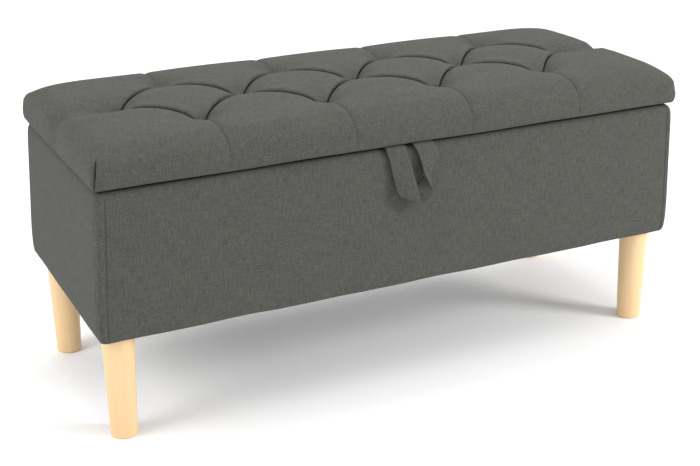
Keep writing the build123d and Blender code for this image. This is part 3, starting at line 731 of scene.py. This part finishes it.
def lid_skin(name, lower, finish, closed):
    """The lid's cover, or its pad if closed: diamonds, pillows, sides and underside in one skin.

    A face of kind 0 takes its weave from the front or back, and one of kind 1 from the ends."""
    rows, push = lid_rows(lower)
    seam_deep, seam_wide = 3.4, 7.0
    points, plan, pushes, faces, uv_a, uv_b, kinds = [], [], [], [], [], [], []
    found = {}

    def vertex(x, y, z, px, py, dx, dy, dz, uva, uvb):
        key = (round(x, 3), round(y, 3), round(z, 3))
        if key in found:
            return found[key]
        found[key] = len(points)
        points.append((x, y, z))
        plan.append((px, py, 0.0))
        pushes.append((dx, dy, dz))
        uv_a.append(uva)
        uv_b.append(uvb)
        return found[key]

    def top_vertex(x, y):
        ox, oy, rise = pleat_fold(x, y)
        bx, by = bow(x, y)
        return vertex(x + ox + bx, y + oy + by, CROWN + rise, x, y, 0, 0, 1, (x, y), (x, y))

    # Full diamonds, square on their pleats.
    for x0, count in ((-300, FINE), (-100, PLAIN), (100, PLAIN), (300, FINE)):
        grid = []
        for s in count / EDGE:
            grid.append([top_vertex(x0 - 100 + 100 * s + 100 * t, -100 * s + 100 * t) for t in count / EDGE])
        for i in range(len(count) - 1):
            for j in range(len(count) - 1):
                faces.append((grid[i][j], grid[i + 1][j], grid[i + 1][j + 1], grid[i][j + 1]))
                kinds.append(0)

    # The ring of pillows round them, each column from a pleat out to the lid's edge.
    def ring(columns):
        strips = []
        for (ix, iy), spot, kind in columns:
            ex, ey = round_corner(500 - rows[0][0], 205 - rows[0][0], rows[0][2], spot)
            far = np.hypot(ex - ix, ey - iy)
            rate = 1.0
            if far > 1:
                # How fast the column leaves the nearer of the two pleat directions.
                falls = abs((ex - ix) * 0.70711 - (ey - iy) * 0.70711) / far
                rises = abs((ex - ix) * 0.70711 + (ey - iy) * 0.70711) / far
                slow, fast = min(falls, rises), max(falls, rises)
                rate = max(slow if slow > 0.3 else fast, 0.3)
            first = [r / rate for r in near if r / rate < far - 12]
            rest = np.linspace(first[-1], far, 12 + len(near) - len(first))[1:]
            strip = []
            for r in list(first) + list(rest):
                x, y = ix + (ex - ix) * r / far, iy + (ey - iy) * r / far
                ox, oy, rise = pleat_fold(x, y)
                seam = 0.0
                if spot[0] == "side" and spot[1] in (0, 2):
                    seam = crease(seam_gap(x), seam_deep, seam_wide) * min(1, r / 18)
                past = abs(x) - 400  # beyond the end tufts a valley runs to the lid's end
                if past > 0:
                    seam += -10.5 * np.exp(-((y / 23) ** 2)) * min(1, past / 12)
                    seam += -2.6 * np.exp(-abs(y) / 4) * min(1, past / 12) * max(0, 1 - past / 60)
                bx, by = bow(x, y) * min(1, (far - r) / 40)
                strip.append(vertex(x + ox + bx, y + oy + by, CROWN + rise + seam,
                                    x, y, 0, 0, 1, (x, y), (x, y)))
            # Down over the edge, along the side and under.
            run = 0.0
            for k in range(1, len(rows)):
                inset, z, radius = rows[k]
                run += np.hypot(inset - rows[k - 1][0], z - rows[k - 1][1])
                radius += 6 * (closed and inset < 7)
                x, y = round_corner(500 - max(inset, 0.25 * inset), 205 - inset, radius, spot)
                if spot[0] == "side":
                    nx, ny = OUTWARD[spot[1]]
                else:
                    turn = spot[1] * pi / 2 - pi / 2 + spot[2]
                    nx, ny = cos(turn), sin(turn)
                move = 0.0
                hold = float(np.clip((z - 403) / 8, 0, 1))
                if spot[0] == "side" and spot[1] in (0, 2):
                    gap = seam_gap(spot[2])
                    deep = seam_deep * (0.35 + 0.65 * np.clip((z - 402) / 55, 0, 1))
                    move += crease(gap, deep, seam_wide) * hold
                    if abs(spot[2]) < 300:
                        move += 1.1 * (1 - np.exp(-((gap / 45) ** 2))) * hold
                if spot[0] == "side" and spot[1] in (1, 3):
                    deep = 3.0 + 8.0 * np.clip((z - 410) / 50, 0, 1)
                    move += -deep * np.exp(-((spot[2] / 24) ** 2)) * hold
                if spot[0] == "turn":
                    off = (spot[2] - pi / 4) * radius
                    tall = np.clip((449 - z) / 5, 0, 1) * (inset < 10)
                    deep = np.interp(z, (403, 407, 411, 418, 424), (2.2, 3.4, 4.4, 5.5, 8.0))
                    move += (-6.0 * sin(2 * spot[2]) if closed else crease(off, deep, 1.9)) * tall
                if z < 412:
                    wave = 0.35 * sin(x / 33 + 1) + 0.5 * sin(y / 27) + 0.3 * sin((x - y) / 71)
                    z += wave * np.clip((412 - z) / 8, 0, 1) * np.clip((11 - inset) / 5, 0, 1)
                ox, oz = push[k] if spot[0] == "side" or z > 430 else (1.0, 0.0)
                strip.append(vertex(
                    x + nx * ox * move, y + ny * ox * move, z + oz * move, x, y, nx * ox, ny * ox, oz,
                    (x, np.sign(y) * (abs(ey) + run)), (np.sign(x) * (abs(ex) + run), y)))
            strips.append((strip, kind))
        return strips

    columns = []
    # Front pillows, from left to right.
    for i in range(3):
        left, right = front_row[i], front_row[i + 1]
        apex = middle_row[i + 1]
        first, second = (FINE if i == 0 else PLAIN), (FINE if i == 2 else PLAIN)
        for s in first[:-1] / EDGE:
            columns.append(((left[0] + 100 * s, -100 + 100 * s), ("side", 0, left[0] + 100 * s), 0))
        for s in second[:-1] / EDGE:
            columns.append(((apex[0] + 100 * s, -100 * s), ("side", 0, apex[0] + 100 * s), 0))

    def corner_columns():
        """From a front or back seam round a corner to the valley at the lid's end."""
        half_bend = np.array([0.04, 0.1, 0.18, 0.3, 0.48, 0.72])
        bend = pi / 4 + np.concatenate([-half_bend[::-1], [0], half_bend]) * pi / 4
        total = [("long", v) for v in [300 + d for d in near[:-1]]]
        total += [("long", v) for v in np.linspace(325, LONG_STRAIGHT, 14)]
        total += [("bend", v) for v in bend]
        total += [("short", v) for v in np.linspace(SHORT_STRAIGHT, 25, 15)]
        total += [("short", v) for v in near[:-1][::-1]]
        while len(total) > len(FINE):
            total.pop(len(near) + 2 if len(total) % 2 else len(total) - len(near) - 2)
        return total

    front_right, back_right, back_left, front_left = [], [], [], []
    for (part, v), s in zip(corner_columns(), FINE / EDGE):
        inner = (300 + 100 * s, -100 + 100 * s)
        spot = {"long": ("side", 0, v), "bend": ("turn", 0, v), "short": ("side", 1, -v)}[part]
        kind = 0 if part == "long" or (part == "bend" and v < pi / 4 - 1e-6) else 1
        front_right.append((inner, spot, kind))
    for inner, spot, kind in front_right:
        side, where, at = spot
        if side == "side":
            back_spot = ("side", 2, -at) if where == 0 else ("side", 1, -at)
            fl_spot = ("side", 0, -at) if where == 0 else ("side", 3, -at)
            bl_spot = ("side", 2, at) if where == 0 else ("side", 3, at)
        else:
            back_spot, fl_spot, bl_spot = ("turn", 1, pi / 2 - at), ("turn", 3, pi / 2 - at), ("turn", 2, at)
        back_right.append(((inner[0], -inner[1]), back_spot, kind))
        front_left.append(((-inner[0], inner[1]), fl_spot, kind))
        back_left.append(((-inner[0], -inner[1]), bl_spot, kind))
    columns += front_right[:-1]
    columns += back_right[::-1][:-1]
    for i in (2, 1, 0):
        right, left = back_row[i + 1], back_row[i]
        apex = middle_row[i + 1]
        first, second = (FINE if i == 2 else PLAIN), (FINE if i == 0 else PLAIN)
        for s in first[:-1] / EDGE:
            columns.append(((right[0] - 100 * s, 100 - 100 * s), ("side", 2, -(right[0] - 100 * s)), 0))
        for s in second[:-1] / EDGE:
            columns.append(((apex[0] - 100 * s, 100 * s), ("side", 2, -(apex[0] - 100 * s)), 0))
    columns += back_left[:-1]
    columns += front_left[::-1][:-1]
    strips = ring(columns)
    for j in range(len(strips)):
        (a, kind_a), (b, kind_b) = strips[j], strips[(j + 1) % len(strips)]
        spot_a, spot_b = columns[j][1], columns[(j + 1) % len(strips)][1]
        kind = 1 if kind_a and (kind_b or "turn" in (spot_a[0], spot_b[0])) else 0
        for k in range(len(a) - 1):
            face = [a[k], a[k + 1], b[k + 1], b[k]]
            face = [v for i, v in enumerate(face) if v != face[i - 1]]
            if len(face) > 2:
                faces.append(tuple(face))
                kinds.append(kind)
    if closed:
        # The pad is closed across its top over the board.
        rim = [s[0][-1] for s in strips]
        middle = []
        for x, y, z in [points[v] for v in rim]:
            mid_x = float(np.clip(x, -300, 300))
            middle.append(vertex(mid_x, 0.0, z, x, y, 0, 0, 0, (x, y), (x, y)))
        for j in range(len(rim)):
            q = (j + 1) % len(rim)
            face = [rim[j], middle[j], middle[q], rim[q]]
            face = [v for i, v in enumerate(face) if v != face[i - 1]]
            if len(face) > 2:
                faces.append(tuple(face))
                kinds.append(0)
    uv = []
    for face, kind in zip(faces, kinds):
        for v in face:
            uv.append(uv_b[v] if kind else uv_a[v])
    piece = make_piece(name, points, faces, finish, uv)
    for label, values in (("plan", plan), ("push", pushes)):
        scale = 0.001 if label == "plan" else 1.0
        layer = piece.data.attributes.new(label, "FLOAT_VECTOR", "POINT")
        layer.data.foreach_set("vector", (np.array(values, float) * scale).ravel())
    return piece


def new_tree(name, sizes):
    """An empty Geometry Nodes tree with named number inputs."""
    tree = bpy.data.node_groups.new(name, "GeometryNodeTree")
    tree.interface.new_socket("Geometry", in_out="INPUT", socket_type="NodeSocketGeometry")
    tree.interface.new_socket("Geometry", in_out="OUTPUT", socket_type="NodeSocketGeometry")
    for label, value in sizes.items():
        kind = "NodeSocketMaterial" if value is None else "NodeSocketFloat"
        socket = tree.interface.new_socket(label, in_out="INPUT", socket_type=kind)
        if value is not None:
            socket.default_value = value
    start = tree.nodes.new("NodeGroupInput")
    end = tree.nodes.new("NodeGroupOutput")
    return tree, start.outputs, end.inputs, node_adder(tree)


def give(piece, tree, values):
    """Put a tree on a piece, with its sizes set by each socket's identifier."""
    run = piece.modifiers.new(tree.name, "NODES")
    run.node_group = tree
    for item in tree.interface.items_tree:
        if item.in_out == "INPUT" and item.name in values:
            run[item.identifier] = values[item.name]
    return run


def tufting_tree():
    """Draws a skin down at every tuft: a tight pinch, inside a wide soft hollow."""
    tree, size, end, add = new_tree("tufting", {
        "Long Spacing": 0.2, "Cross Spacing": 0.1, "Pinch Depth": 0.021, "Pinch Width": 0.011,
        "Hollow Depth": 0.009, "Hollow Width": 0.036, "Crown Fall": 0.009, "Crown Rise": 0.003,
        "Draw In": 0.0, "Cloth": None})

    def calc(operation, a, b=0.0):
        return add("ShaderNodeMath", {"operation": operation}, i0=a, i1=b).outputs[0]

    rows = []
    for count, offset, row in ((4, -1.5, -1.0), (5, -2.0, 0.0), (4, -1.5, 1.0)):
        place = add("ShaderNodeCombineXYZ", X=calc("MULTIPLY", size["Long Spacing"], offset),
                    Y=calc("MULTIPLY", size["Cross Spacing"], row))
        step = add("ShaderNodeCombineXYZ", X=size["Long Spacing"])
        rows.append(add("GeometryNodeMeshLine", Count=count, Start_Location=place, Offset=step))
    tufts = add("GeometryNodeJoinGeometry", Geometry=rows)
    plan = add("GeometryNodeInputNamedAttribute", {"data_type": "FLOAT_VECTOR"}, Name="plan").outputs[0]
    push = add("GeometryNodeInputNamedAttribute", {"data_type": "FLOAT_VECTOR"}, Name="push").outputs[0]
    reach = add("GeometryNodeProximity", {"target_element": "POINTS"}, i0=tufts)
    tree.links.new(plan, reach.inputs["Sample Position"])
    far = reach.outputs["Distance"]

    def dip(deep, wide, power):
        share = calc("POWER", calc("DIVIDE", far, wide), power)
        return calc("MULTIPLY", deep, calc("EXPONENT", calc("MULTIPLY", share, -1.0)))

    def past(value, level, reach):
        """How far a point lies past the level part of the crown, as a share of the fall's reach."""
        beyond = calc("SUBTRACT", calc("ABSOLUTE", value), level)
        return calc("MAXIMUM", calc("DIVIDE", beyond, reach), 0.0)

    depth = calc("ADD", dip(size["Pinch Depth"], size["Pinch Width"], 1.25),
                 dip(size["Hollow Depth"], size["Hollow Width"], 1.7))
    across = add("ShaderNodeSeparateXYZ", Vector=plan)
    end_x, end_y = past(across.outputs[0], 0.40, 0.11), past(across.outputs[1], 0.13, 0.08)
    both = calc("ADD", calc("MULTIPLY", end_x, end_x), calc("MULTIPLY", end_y, end_y))
    facing_up = calc("MAXIMUM", add("ShaderNodeSeparateXYZ", Vector=push).outputs[2], 0.0)
    share_y = calc("DIVIDE", across.outputs[1], 0.19)
    swell = calc("MAXIMUM", calc("SUBTRACT", 1.0, calc("MULTIPLY", share_y, share_y)), 0.0)
    crown = calc("SUBTRACT", calc("MULTIPLY", size["Crown Fall"], calc("MINIMUM", both, 1.4)),
                 calc("MULTIPLY", size["Crown Rise"], swell))
    depth = calc("ADD", depth, calc("MULTIPLY", crown, facing_up))
    down = add("ShaderNodeVectorMath", {"operation": "SCALE"}, i0=push,
               Scale=calc("MULTIPLY", depth, -1.0))
    drawn = add("GeometryNodeSetPosition", Geometry=size["Geometry"], Offset=down.outputs[0])
    normal = add("GeometryNodeInputNormal")
    inward = add("ShaderNodeVectorMath", {"operation": "SCALE"}, i0=normal,
                 Scale=calc("MULTIPLY", size["Draw In"], -1.0))
    inside = add("GeometryNodeSetPosition", Geometry=drawn, Offset=inward.outputs[0])
    real = add("GeometryNodeRealizeInstances", Geometry=inside)
    clad = add("GeometryNodeSetMaterial", Geometry=real, Material=size["Cloth"])
    tree.links.new(clad.outputs[0], end[0])
    return tree


tufting = tufting_tree()
lid_cloth = lid_skin("lid_cover_cloth", cover_lower, grey_linen, False)
give(lid_cloth, tufting, {"Cloth": grey_linen})
wall = lid_cloth.modifiers.new("cloth", "SOLIDIFY")
wall.thickness = 0.0011
wall.offset = -1
bake(lid_cloth)
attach(lid_cloth, "lid")
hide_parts("lid_cover")

# ======== Lid foam ========
# A thick foam pad, glued to the board and down over its edges. It takes the shape of the
# cover that is drawn down into it.
lid_foam = lid_skin("lid_foam", pad_lower, foam, True)
give(lid_foam, tufting, {"Draw In": 0.0018, "Cloth": foam})
bake(lid_foam)
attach(lid_foam, "lid")
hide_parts("lid_pad")

# ======== Tuft twines ========
# Waxed twine from each of the thirteen tufts, down through the foam and the lid board. A washer
# under the board holds it.


def waxed_twine():
    finish, shader, add, calc, shade, finish_off = new_finish("waxed_twine", 0.6)
    place = add("ShaderNodeTexCoord").outputs["Object"]
    strand = add("ShaderNodeTexWave", {"bands_direction": "DIAGONAL"}, Vector=place, Scale=260.0,
                 Distortion=1.5)
    fuzz = add("ShaderNodeTexNoise", Vector=place, Scale=1500.0, Detail=3.0)
    colour = shade((0.42, 0.37, 0.28), (0.72, 0.67, 0.57), strand)
    finish_off(colour, calc("ADD", strand.outputs[1], fuzz.outputs[0]), 0.0003, 0.6)
    return finish


dress(waxed_twine(), "tuft_twines")

# ======== Lid lining ========
# The lining's dark cloth again, over the underside of the lid board and the cover's edge. Its own
# edge is turned in and stapled.
flat_cloth("lid_lining_cloth", "lid_lining", 488.0, 193.0, 402.0, 0.8, 12.0, dark_lining, "lid",
           0.15)

# ======== Pull loop ========
# One strap of the cover cloth, folded double and stitched along both edges. Its ends are
# stapled side by side under the lid, and it turns on edge to pass round the bottom.
strap_edges = np.array([  # inner edge, then outer edge, from the left end to the right one
    (-16, -176, 400.8, -50, -176, 400.8), (-16, -200, 400.8, -50, -200, 400.8),
    (-16, -205.9, 400.3, -50, -205.9, 400.3), (-15.7, -208.7, 396.7, -49.6, -208.4, 396.6),
    (-13.7, -211.4, 386.6, -46.6, -209.4, 387.2), (-10.7, -215.5, 373.2, -43.3, -210.9, 371.6),
    (-8, -220.2, 357.9, -40.2, -212.7, 357.9), (-5.9, -225.3, 342.7, -37.5, -215, 343.2),
    (-3.9, -229.9, 327.4, -35.4, -217.2, 332.4), (-2.3, -232, 315.4, -32.7, -218.4, 327.5),
    (0.5, -231.7, 310.2, -28.5, -217.7, 325.4), (5.7, -231.5, 308.7, -20.2, -216, 327.4),
    (12.2, -232, 310.2, -9.6, -214.1, 331.6), (17.5, -232.2, 314.9, 0.3, -212.7, 336.8),
    (21.4, -231.1, 321.5, 9.4, -211.1, 344.8), (21, -229.2, 328.7, 18.6, -209.4, 355),
    (15.8, -225.3, 341, 29.1, -208.1, 365.9), (9.9, -219.2, 357.2, 37, -209, 372.8),
    (7.2, -214.1, 374, 39.3, -209.4, 380.5), (3.5, -210.8, 387.5, 38.9, -209.1, 388.7),
    (-0.5, -208.7, 396.7, 34.9, -208.4, 396.6), (-2.8, -205.9, 400.3, 32.8, -205.9, 400.3),
    (-2.8, -200, 400.8, 32.8, -200, 400.8), (-2.8, -176, 400.8, 32.8, -176, 400.8),
], float)


def through(points, count):
    """Points along a smooth curve through given ones."""
    t = np.arange(len(points))
    out = []
    for u in np.linspace(0, len(points) - 1, count):
        i = min(int(u), len(points) - 2)
        p0, p1, p2, p3 = (points[min(max(i + k, 0), len(points) - 1)] for k in (-1, 0, 1, 2))
        f = u - i
        bend, twist = 2 * p0 - 5 * p1 + 4 * p2 - p3, 3 * p1 - p0 - 3 * p2 + p3
        out.append(0.5 * (2 * p1 + (p2 - p0) * f + bend * f**2 + twist * f**3))
    return np.array(out)


wide_steps = 22
stitched = (0.10, 0.90)  # where the stitch rows run, as shares of the strap's width


def pull_strap():
    """The strap, with its middle face, normals and half thickness for the stitches to follow."""
    long_steps, yarn_step = 180, 1.545
    inner = through(strap_edges[:, :3], long_steps + 1)
    outer = through(strap_edges[:, 3:], long_steps + 1)
    middle = (inner + outer) / 2
    run = np.concatenate([[0], np.cumsum(np.linalg.norm(np.diff(middle, axis=0), axis=1))])
    top = np.zeros((long_steps + 1, wide_steps + 1, 3))
    for i in range(long_steps + 1):
        for j in range(wide_steps + 1):
            top[i, j] = inner[i] + (outer[i] - inner[i]) * j / wide_steps
    du = np.gradient(top, axis=0)
    dv = np.gradient(top, axis=1)
    normal = np.cross(du, dv)
    normal /= np.linalg.norm(normal, axis=2)[..., None]
    points, faces, uv = [], [], []
    # Section: two cloths with a soft rounded edge, drawn together at the stitch rows.
    share = np.linspace(0, 1, wide_steps + 1)
    thick = 1.45
    for row, pull in zip(stitched, (0.3, 0.22)):
        thick = thick - pull * np.exp(-(((share - row) / 0.035) ** 2))
    thick *= np.sqrt(np.clip(1 - (2 * share - 1) ** 20, 0.02, 1))
    for side in (1, -1):
        for i in range(long_steps + 1):
            for j in range(wide_steps + 1):
                points.append(top[i, j] + side * normal[i, j] * thick[j])
    n = wide_steps + 1
    half = n * (long_steps + 1)
    for i in range(long_steps):
        for j in range(wide_steps):
            a = i * n + j
            here, there = j * yarn_step, (j + 1) * yarn_step
            faces.append((a, a + n, a + n + 1, a + 1))
            uv += [(here, run[i]), (here, run[i + 1]), (there, run[i + 1]), (there, run[i])]
            faces.append((a + half, a + 1 + half, a + n + 1 + half, a + n + half))
            uv += [(here, run[i]), (there, run[i]), (there, run[i + 1]), (here, run[i + 1])]
        for j, turn in ((0, 1), (wide_steps, -1)):
            a = i * n + j
            face = (a, a + half, a + n + half, a + n)
            faces.append(face if turn > 0 else face[::-1])
            uv += [(j, run[i]), (j + 1, run[i]), (j + 1, run[i + 1]), (j, run[i + 1])]
    for i, turn in ((0, 1), (long_steps, -1)):
        for j in range(wide_steps):
            a = i * n + j
            face = (a, a + 1, a + 1 + half, a + half)
            faces.append(face if turn > 0 else face[::-1])
            uv += [(j, 0), (j + 1, 0), (j + 1, 1), (j, 1)]
    strap = make_piece("pull_loop_strap", points, faces, grey_linen, uv)
    return strap, top, normal, thick


strap, strap_top, strap_normal, strap_thick = pull_strap()
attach(strap, "lid")
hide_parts("pull_loop")

# ======== Stitches on the strap ========
# Grey polyester thread, sewn through both cloths of the strap. One row runs along each edge and
# shows on both faces.


def thread():
    finish, shader, add, calc, shade, finish_off = new_finish("grey_thread", 0.6)
    place = add("ShaderNodeTexCoord").outputs["Object"]
    ply = add("ShaderNodeTexWave", {"bands_direction": "DIAGONAL"}, Vector=place, Scale=700.0)
    colour = shade((0.06, 0.06, 0.055), (0.15, 0.15, 0.14), ply)
    finish_off(colour, ply.outputs[1], 0.0001, 0.5)
    return finish


def rod_tree(name, spacing, long, thick):
    """Short round rods, one after another along a line: stitches or the backs of staples."""
    tree, size, end, add = new_tree(name, {
        "Spacing": spacing, "Rod Length": long, "Rod Radius": thick, "Finish": None})
    line = add("GeometryNodeMeshToCurve", Mesh=size["Geometry"])
    spots = add("GeometryNodeCurveToPoints", {"mode": "LENGTH"}, Curve=line, Length=size["Spacing"])
    half = add("ShaderNodeMath", {"operation": "MULTIPLY"}, i0=size["Rod Length"], i1=0.5)
    less = add("ShaderNodeMath", {"operation": "MULTIPLY"}, i0=size["Rod Length"], i1=-0.5)
    first = add("ShaderNodeCombineXYZ", Z=less)
    last = add("ShaderNodeCombineXYZ", Z=half)
    wire = add("GeometryNodeCurvePrimitiveLine", Start=first, End=last)
    round_off = add("GeometryNodeCurvePrimitiveCircle", Resolution=6, Radius=size["Rod Radius"])
    rod = add("GeometryNodeCurveToMesh", Curve=wire, Profile_Curve=round_off, Fill_Caps=True)
    along = add("FunctionNodeAlignRotationToVector", {"axis": "Z"}, Vector=spots.outputs["Tangent"])
    rods = add("GeometryNodeInstanceOnPoints", Points=spots, Instance=rod, Rotation=along)
    real = add("GeometryNodeRealizeInstances", Geometry=rods)
    clad = add("GeometryNodeSetMaterial", Geometry=real, Material=size["Finish"])
    tree.links.new(clad.outputs[0], end[0])
    return tree


def line_piece(name, lines, finish):
    """Loose edges along lines of points in millimetres, for a tree to follow."""
    points, edges = [], []
    for line in lines:
        edges += [(len(points) + i, len(points) + i + 1) for i in range(len(line) - 1)]
        points += [tuple(p) for p in line]
    mesh = bpy.data.meshes.new(name)
    mesh.from_pydata((np.array(points) / 1000).tolist(), edges, [])
    mesh.materials.append(finish)
    piece = bpy.data.objects.new(name, mesh)
    bpy.context.scene.collection.objects.link(piece)
    return piece


grey_thread = thread()
rows = []
for share in stitched:
    j = int(round(share * wide_steps))
    for side in (1, -1):
        rows.append(strap_top[:, j] + side * strap_normal[:, j] * (strap_thick[j] + 0.05))
strap_stitches = line_piece("strap_stitches", rows, grey_thread)
give(strap_stitches, rod_tree("stitch_row", 0.0034, 0.0025, 0.00026), {"Finish": grey_thread})
bake(strap_stitches)
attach(strap_stitches, "lid")

# ======== Staples ========
# Galvanised upholstery staples: round the dust cloth and the lid's lining, along the top of
# the storage lining, and across the ends of the strap.
staple_zinc = zinc_plate()
staple_tree = rod_tree("staple_row", 0.028, 0.0105, 0.00042)


def ring_of(half_x, half_y, z):
    """A staple line round a rectangle, stopping short of its corners."""
    gap = 8
    in_x, in_y = half_x - gap, half_y - gap
    return [[(-in_x, -half_y, z), (in_x, -half_y, z)], [(half_x, -in_y, z), (half_x, in_y, z)],
            [(in_x, half_y, z), (-in_x, half_y, z)], [(-half_x, in_y, z), (-half_x, -in_y, z)]]


strap_rows = [[(-50, -186, 399.5), (-16, -186, 399.5)], [(-3, -186, 399.5), (33, -186, 399.5)]]
for name, body, lines in (
        ("box_staples", "body", ring_of(471, 176, 169.85) + ring_of(475.8, 180.8, 391.0)),
        ("lid_staples", "lid", ring_of(482, 187, 401.85) + strap_rows)):
    staples = line_piece(name, lines, staple_zinc)
    give(staples, staple_tree, {"Finish": staple_zinc})
    bake(staples)
    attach(staples, body)
